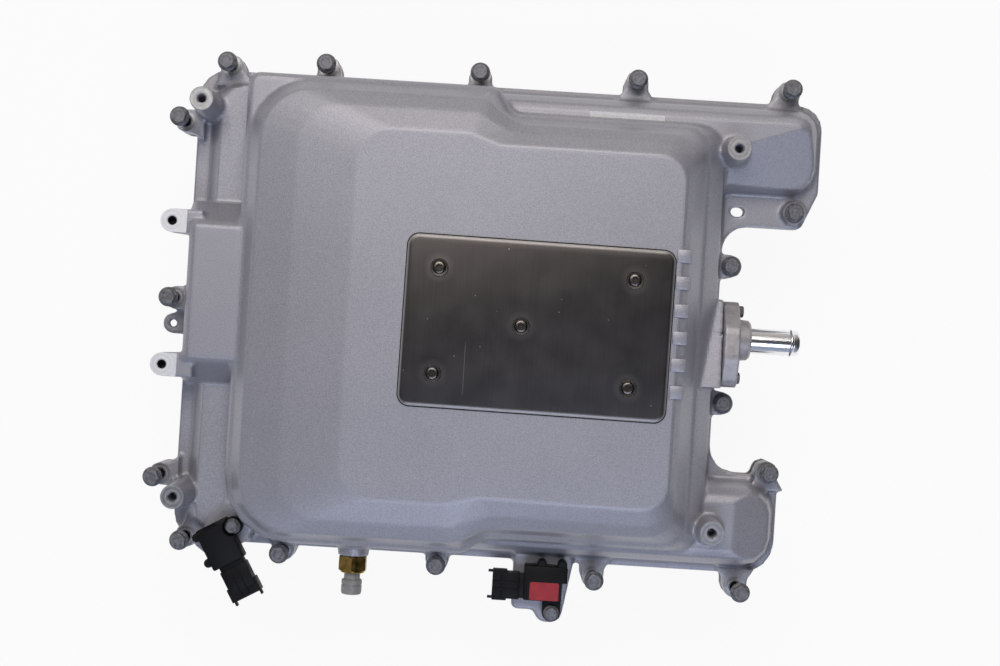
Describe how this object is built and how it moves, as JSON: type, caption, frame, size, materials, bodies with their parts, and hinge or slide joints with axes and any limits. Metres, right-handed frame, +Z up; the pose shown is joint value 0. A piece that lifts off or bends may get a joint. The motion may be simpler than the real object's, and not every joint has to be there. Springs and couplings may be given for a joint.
{
  "type": "supercharger",
  "caption": "Twin-rotor supercharger with a domed silver cast cover over a flat charge cooler, bolted flange, trim plate, sensors and a coolant tube.",
  "frame": {"origin": "middle of the flat pad under the rotor case, which the part stands on", "axes": "+X along the rotors from the drive pulley to the throttle inlet, +Y to the upper bank of runners, +Z up through the cover"},
  "size_m": [0.4739, 0.4035, 0.2064],
  "materials": {
    "silver_coat": "textured silver powder coat",
    "stainless": "dark brushed stainless steel",
    "zinc_steel": "dull zinc plating",
    "cast_alloy": "as-cast and machined aluminium",
    "cooler_alloy": "brazed aluminium",
    "chrome": "polished",
    "rotor_coat": "hard coated aluminium",
    "steel": "ground steel",
    "black_anodised": "black anodised",
    "brass": "machined brass",
    "grey_plastic": "moulded grey nylon",
    "black_plastic": "moulded black nylon",
    "gasket_rubber": "moulded gasket"
  },
  "bodies": {
    "housing": {"boost_sensor": "black_plastic", "boost_sensor_bolt": "zinc_steel", "bypass_actuator": "black_plastic", "bypass_neck": "cast_alloy", "coolant_manifold": "cast_alloy", "coolant_manifold_bolt_1": "zinc_steel", "coolant_manifold_bolt_2": "zinc_steel", "coolant_tube_lower": "chrome", "coolant_tube_upper": "chrome", "cover_bolt_01": "zinc_steel", "cover_bolt_02": "zinc_steel", "cover_bolt_03": "zinc_steel", "cover_bolt_04": "zinc_steel", "cover_bolt_05": "zinc_steel", "cover_bolt_06": "zinc_steel", "cover_bolt_07": "zinc_steel", "cover_bolt_08": "zinc_steel", "cover_bolt_09": "zinc_steel", "cover_bolt_10": "zinc_steel", "cover_bolt_11": "zinc_steel", "cover_bolt_12": "zinc_steel", "cover_bolt_13": "zinc_steel", "cover_bolt_14": "zinc_steel", "cover_bolt_15": "zinc_steel", "cover_bolt_16": "zinc_steel", "cover_bolt_17": "zinc_steel", "cover_gasket": "gasket_rubber", "drive_end_cover": "cast_alloy", "front_bearing_drive": "steel", "front_bearing_driven": "steel", "front_bearing_plate": "cast_alloy", "inlet_housing": "cast_alloy", "inlet_sensor": "black_plastic", "inlet_sensor_bolt": "zinc_steel", "intercooler_core": "cooler_alloy", "rear_bearing_drive": "steel", "rear_bearing_driven": "steel", "rear_bearing_plate": "cast_alloy", "rotor_case": "cast_alloy", "snout_bearing": "steel", "temperature_sensor_body": "brass", "temperature_sensor_connector": "grey_plastic", "trim_plate": "stainless", "trim_plate_screw_1": "zinc_steel", "trim_plate_screw_2": "zinc_steel", "trim_plate_screw_3": "zinc_steel", "trim_plate_screw_4": "zinc_steel", "trim_plate_screw_5": "zinc_steel", "upper_cover": "silver_coat"},
    "drive_train": {"drive_rotor": "rotor_coat", "drive_rotor_shaft": "steel", "drive_timing_gear": "steel", "drive_pulley": "black_anodised", "pulley_bolt": "zinc_steel"},
    "driven_train": {"driven_rotor": "rotor_coat", "driven_rotor_shaft": "steel", "driven_timing_gear": "steel"},
    "bypass_valve": {"bypass_valve_disc": "brass", "bypass_valve_shaft": "steel"},
    "bypass_pull": {"bypass_actuator_rod": "zinc_steel"}
  },
  "joints": [
    {"name": "drive_spin", "type": "hinge", "parent": "housing", "child": "drive_train", "pos_m": [0, 0.042, 0.062], "axis": [1, 0, 0], "continuous": true},
    {"name": "driven_spin", "type": "hinge", "parent": "housing", "child": "driven_train", "pos_m": [0, -0.042, 0.062], "axis": [1, 0, 0], "continuous": true},
    {"name": "bypass_turn", "type": "hinge", "parent": "housing", "child": "bypass_valve", "pos_m": [0.142, 0, 0.1], "axis": [0, -1, 0], "range_deg": [0, 70], "stiffness_Nm_per_rad": 0.02},
    {"name": "bypass_pull", "type": "slide", "parent": "housing", "child": "bypass_pull", "axis": [0, 0, -1], "range_m": [0, 0.0114]}
  ],
  "couplings": [
    {"joint": "driven_spin", "follows": "drive_spin", "ratio": -1},
    {"joint": "bypass_pull", "follows": "bypass_turn", "m_per_rad": 0.00925}
  ]
}
